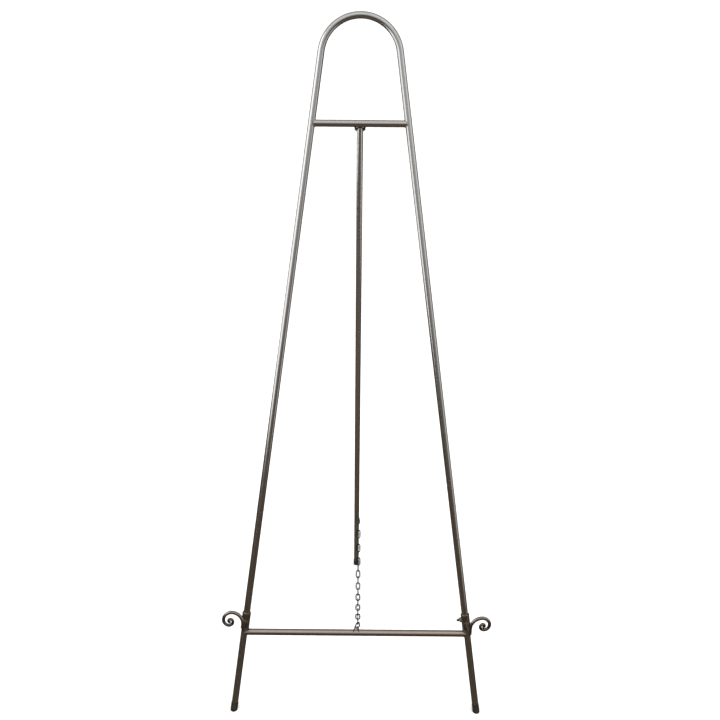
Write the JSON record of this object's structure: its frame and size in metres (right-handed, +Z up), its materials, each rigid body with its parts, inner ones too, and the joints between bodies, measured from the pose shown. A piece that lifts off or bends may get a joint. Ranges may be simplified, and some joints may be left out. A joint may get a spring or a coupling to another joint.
{
  "type": "display easel",
  "caption": "Free-standing arch-top tube easel with a folding rear leg, a limiting chain and scroll hooks on sliding collars that hold a picture.",
  "frame": {"origin": "on the floor, at the middle of the footprint's box", "axes": "+Z up, the easel faces -Y, +X to the right seen from the front"},
  "size_m": [0.6401, 0.6448, 1.6122],
  "materials": {
    "frame_metal": "satin pewter plate, bright on the upper frame and dark bronze towards the feet",
    "hook_metal": "dark hand-bent steel, satin",
    "chain_metal": "dull plated wire",
    "fastener_metal": "satin",
    "foot_cap": "matt black"
  },
  "bodies": {
    "front_frame": {"left_leg_tube": "frame_metal", "right_leg_tube": "frame_metal", "arch_tube": "frame_metal", "top_crossbar": "frame_metal", "lower_crossbar": "frame_metal", "left_foot_cap": "foot_cap", "right_foot_cap": "foot_cap", "left_hinge_ear": "hook_metal", "right_hinge_ear": "hook_metal", "hinge_pin": "fastener_metal", "chain_eye_front": "chain_metal"},
    "rear_leg": {"rear_leg_tube": "frame_metal", "rear_foot_cap": "foot_cap", "chain_eye_rear": "chain_metal"},
    "left_holder": {"left_collar": "hook_metal", "left_hook": "hook_metal", "left_nut": "fastener_metal"},
    "left_screw": {"left_thumb_screw": "fastener_metal"},
    "right_holder": {"right_collar": "hook_metal", "right_hook": "hook_metal", "right_nut": "fastener_metal"},
    "right_screw": {"right_thumb_screw": "fastener_metal"},
    "chain_01": {"chain_link_01": "chain_metal"},
    "chain_02": {"chain_link_02": "chain_metal"},
    "chain_03": {"chain_link_03": "chain_metal"},
    "chain_04": {"chain_link_04": "chain_metal"},
    "chain_05": {"chain_link_05": "chain_metal"},
    "chain_06": {"chain_link_06": "chain_metal"},
    "chain_07": {"chain_link_07": "chain_metal"},
    "chain_08": {"chain_link_08": "chain_metal"},
    "chain_09": {"chain_link_09": "chain_metal"},
    "chain_10": {"chain_link_10": "chain_metal"},
    "chain_11": {"chain_link_11": "chain_metal"},
    "chain_12": {"chain_link_12": "chain_metal"},
    "chain_13": {"chain_link_13": "chain_metal"},
    "chain_14": {"chain_link_14": "chain_metal"},
    "chain_15": {"chain_link_15": "chain_metal"},
    "chain_16": {"chain_link_16": "chain_metal"},
    "chain_17": {"chain_link_17": "chain_metal"},
    "chain_18": {"chain_link_18": "chain_metal"},
    "chain_19": {"chain_end_ring": "chain_metal"}
  },
  "joints": [
    {"name": "rear_leg_fold", "type": "hinge", "parent": "front_frame", "child": "rear_leg", "pos_m": [0, 0.02411, 1.36348], "axis": [-1, 0, 0], "range_deg": [0, 25], "deforming": ["chain_link_01", "chain_link_02", "chain_link_03", "chain_link_04", "chain_link_05", "chain_link_06", "chain_link_07", "chain_link_08", "chain_link_09", "chain_link_10", "chain_link_11", "chain_link_12", "chain_link_13", "chain_link_14", "chain_link_15", "chain_link_16", "chain_link_17", "chain_link_18", "chain_end_ring"]},
    {"name": "left_holder_slide", "type": "slide", "parent": "front_frame", "child": "left_holder", "axis": [0.1333, 0.2297, 0.9641], "range_m": [0, 1.145]},
    {"name": "left_screw_turn", "type": "hinge", "parent": "left_holder", "child": "left_screw", "pos_m": [-0.2666, -0.2423, 0.2323], "axis": [0, 0.9728, -0.2317], "range_deg": [0, 360]},
    {"name": "right_holder_slide", "type": "slide", "parent": "front_frame", "child": "right_holder", "axis": [-0.1333, 0.2297, 0.9641], "range_m": [0, 1.145]},
    {"name": "right_screw_turn", "type": "hinge", "parent": "right_holder", "child": "right_screw", "pos_m": [0.25174, -0.25735, 0.23383], "axis": [-0.9911, -0.0309, -0.1297], "range_deg": [0, 360]},
    {"name": "chain_01_swing", "type": "hinge", "parent": "rear_leg", "child": "chain_01", "pos_m": [0, 0.25868, 0.20602], "axis": [0.9663, -0.2237, 0.1273], "range_deg": [0, 85.25]},
    {"name": "chain_02_swing", "type": "hinge", "parent": "chain_01", "child": "chain_02", "pos_m": [0.005, 0.23163, 0.19685], "axis": [0.6576, 0.3632, -0.66], "range_deg": [0, 24.93]},
    {"name": "chain_03_swing", "type": "hinge", "parent": "chain_02", "child": "chain_03", "pos_m": [0.005, 0.20547, 0.18904], "axis": [0.6596, 0.7071, 0.2548], "range_deg": [0, 3.28]},
    {"name": "chain_04_swing", "type": "hinge", "parent": "chain_03", "child": "chain_04", "pos_m": [0.005, 0.17905, 0.18219], "axis": [0.6627, 0.7038, 0.256], "range_deg": [0, 3.31]},
    {"name": "chain_05_swing", "type": "hinge", "parent": "chain_04", "child": "chain_05", "pos_m": [0.005, 0.15239, 0.1763], "axis": [0.6663, 0.6892, 0.2845], "range_deg": [0, 3.36]},
    {"name": "chain_06_swing", "type": "hinge", "parent": "chain_05", "child": "chain_06", "pos_m": [0.005, 0.12553, 0.17138], "axis": [0.6637, 0.6387, 0.3893], "range_deg": [0, 3.55]},
    {"name": "chain_07_swing", "type": "hinge", "parent": "chain_06", "child": "chain_07", "pos_m": [0.005, 0.09852, 0.16745], "axis": [0.5675, 0.4106, 0.7136], "range_deg": [0, 4.94]},
    {"name": "chain_08_swing", "type": "hinge", "parent": "chain_07", "child": "chain_08", "pos_m": [0.005, 0.07138, 0.1645], "axis": [-0.1339, 0.1377, -0.9814], "range_deg": [0, 47.18]},
    {"name": "chain_09_swing", "type": "hinge", "parent": "chain_08", "child": "chain_09", "pos_m": [0.005, 0.04415, 0.16254], "axis": [-0.9991, 0.0271, -0.0337], "range_deg": [0, 79.66]},
    {"name": "chain_10_swing", "type": "hinge", "parent": "chain_11", "child": "chain_10", "pos_m": [0.005, -0.01043, 0.1616], "axis": [-0.1082, 0.0049, 0.9941], "range_deg": [0, 113.03]},
    {"name": "chain_11_swing", "type": "hinge", "parent": "chain_12", "child": "chain_11", "pos_m": [0.005, -0.03771, 0.16262], "axis": [0.9873, -0.0269, 0.1566], "range_deg": [0, 61.49]},
    {"name": "chain_12_swing", "type": "hinge", "parent": "chain_13", "child": "chain_12", "pos_m": [0.005, -0.06494, 0.16464], "axis": [-0.7062, -0.2634, -0.6572], "range_deg": [0, 12.13]},
    {"name": "chain_13_swing", "type": "hinge", "parent": "chain_14", "child": "chain_13", "pos_m": [0.005, -0.09208, 0.16764], "axis": [-0.5859, -0.5554, -0.5901], "range_deg": [0, 5.17]},
    {"name": "chain_14_swing", "type": "hinge", "parent": "chain_15", "child": "chain_14", "pos_m": [0.005, -0.11908, 0.17163], "axis": [-0.641, -0.6986, -0.3181], "range_deg": [0, 3.86]},
    {"name": "chain_15_swing", "type": "hinge", "parent": "chain_16", "child": "chain_15", "pos_m": [0.005, -0.14593, 0.1766], "axis": [-0.6518, -0.7463, -0.1346], "range_deg": [0, 3.49]},
    {"name": "chain_16_swing", "type": "hinge", "parent": "chain_17", "child": "chain_16", "pos_m": [0.005, -0.17257, 0.18254], "axis": [-0.6516, -0.7584, -0.016], "range_deg": [0, 3.36]},
    {"name": "chain_17_swing", "type": "hinge", "parent": "chain_18", "child": "chain_17", "pos_m": [0.005, -0.19898, 0.18945], "axis": [-0.6496, -0.7573, 0.0668], "range_deg": [0, 3.29]},
    {"name": "chain_18_swing", "type": "hinge", "parent": "chain_19", "child": "chain_18", "pos_m": [0.005, -0.22513, 0.19731], "axis": [-0.9998, -0.001, -0.0203], "range_deg": [0, 98.32]},
    {"name": "chain_19_swing", "type": "hinge", "parent": "front_frame", "child": "chain_19", "pos_m": [0.0033, -0.25793, 0.2085], "axis": [0.0172, -0.2169, -0.9761], "range_deg": [0, 162.31]}
  ],
  "couplings": [
    {"joint": "chain_01_swing", "follows": "rear_leg_fold", "ratio": 3.4096},
    {"joint": "chain_02_swing", "follows": "rear_leg_fold", "ratio": 0.99679},
    {"joint": "chain_03_swing", "follows": "rear_leg_fold", "ratio": 0.1309},
    {"joint": "chain_04_swing", "follows": "rear_leg_fold", "ratio": 0.13186},
    {"joint": "chain_05_swing", "follows": "rear_leg_fold", "ratio": 0.13406},
    {"joint": "chain_06_swing", "follows": "rear_leg_fold", "ratio": 0.14151},
    {"joint": "chain_07_swing", "follows": "rear_leg_fold", "ratio": 0.19724},
    {"joint": "chain_08_swing", "follows": "rear_leg_fold", "ratio": 1.8869},
    {"joint": "chain_09_swing", "follows": "rear_leg_fold", "ratio": 3.186},
    {"joint": "chain_10_swing", "follows": "rear_leg_fold", "ratio": 4.5209},
    {"joint": "chain_11_swing", "follows": "rear_leg_fold", "ratio": 2.459},
    {"joint": "chain_12_swing", "follows": "rear_leg_fold", "ratio": 0.48485},
    {"joint": "chain_13_swing", "follows": "rear_leg_fold", "ratio": 0.20638},
    {"joint": "chain_14_swing", "follows": "rear_leg_fold", "ratio": 0.15404},
    {"joint": "chain_15_swing", "follows": "rear_leg_fold", "ratio": 0.1393},
    {"joint": "chain_16_swing", "follows": "rear_leg_fold", "ratio": 0.1338},
    {"joint": "chain_17_swing", "follows": "rear_leg_fold", "ratio": 0.13132},
    {"joint": "chain_18_swing", "follows": "rear_leg_fold", "ratio": 3.9325},
    {"joint": "chain_19_swing", "follows": "rear_leg_fold", "ratio": 6.492}
  ]
}
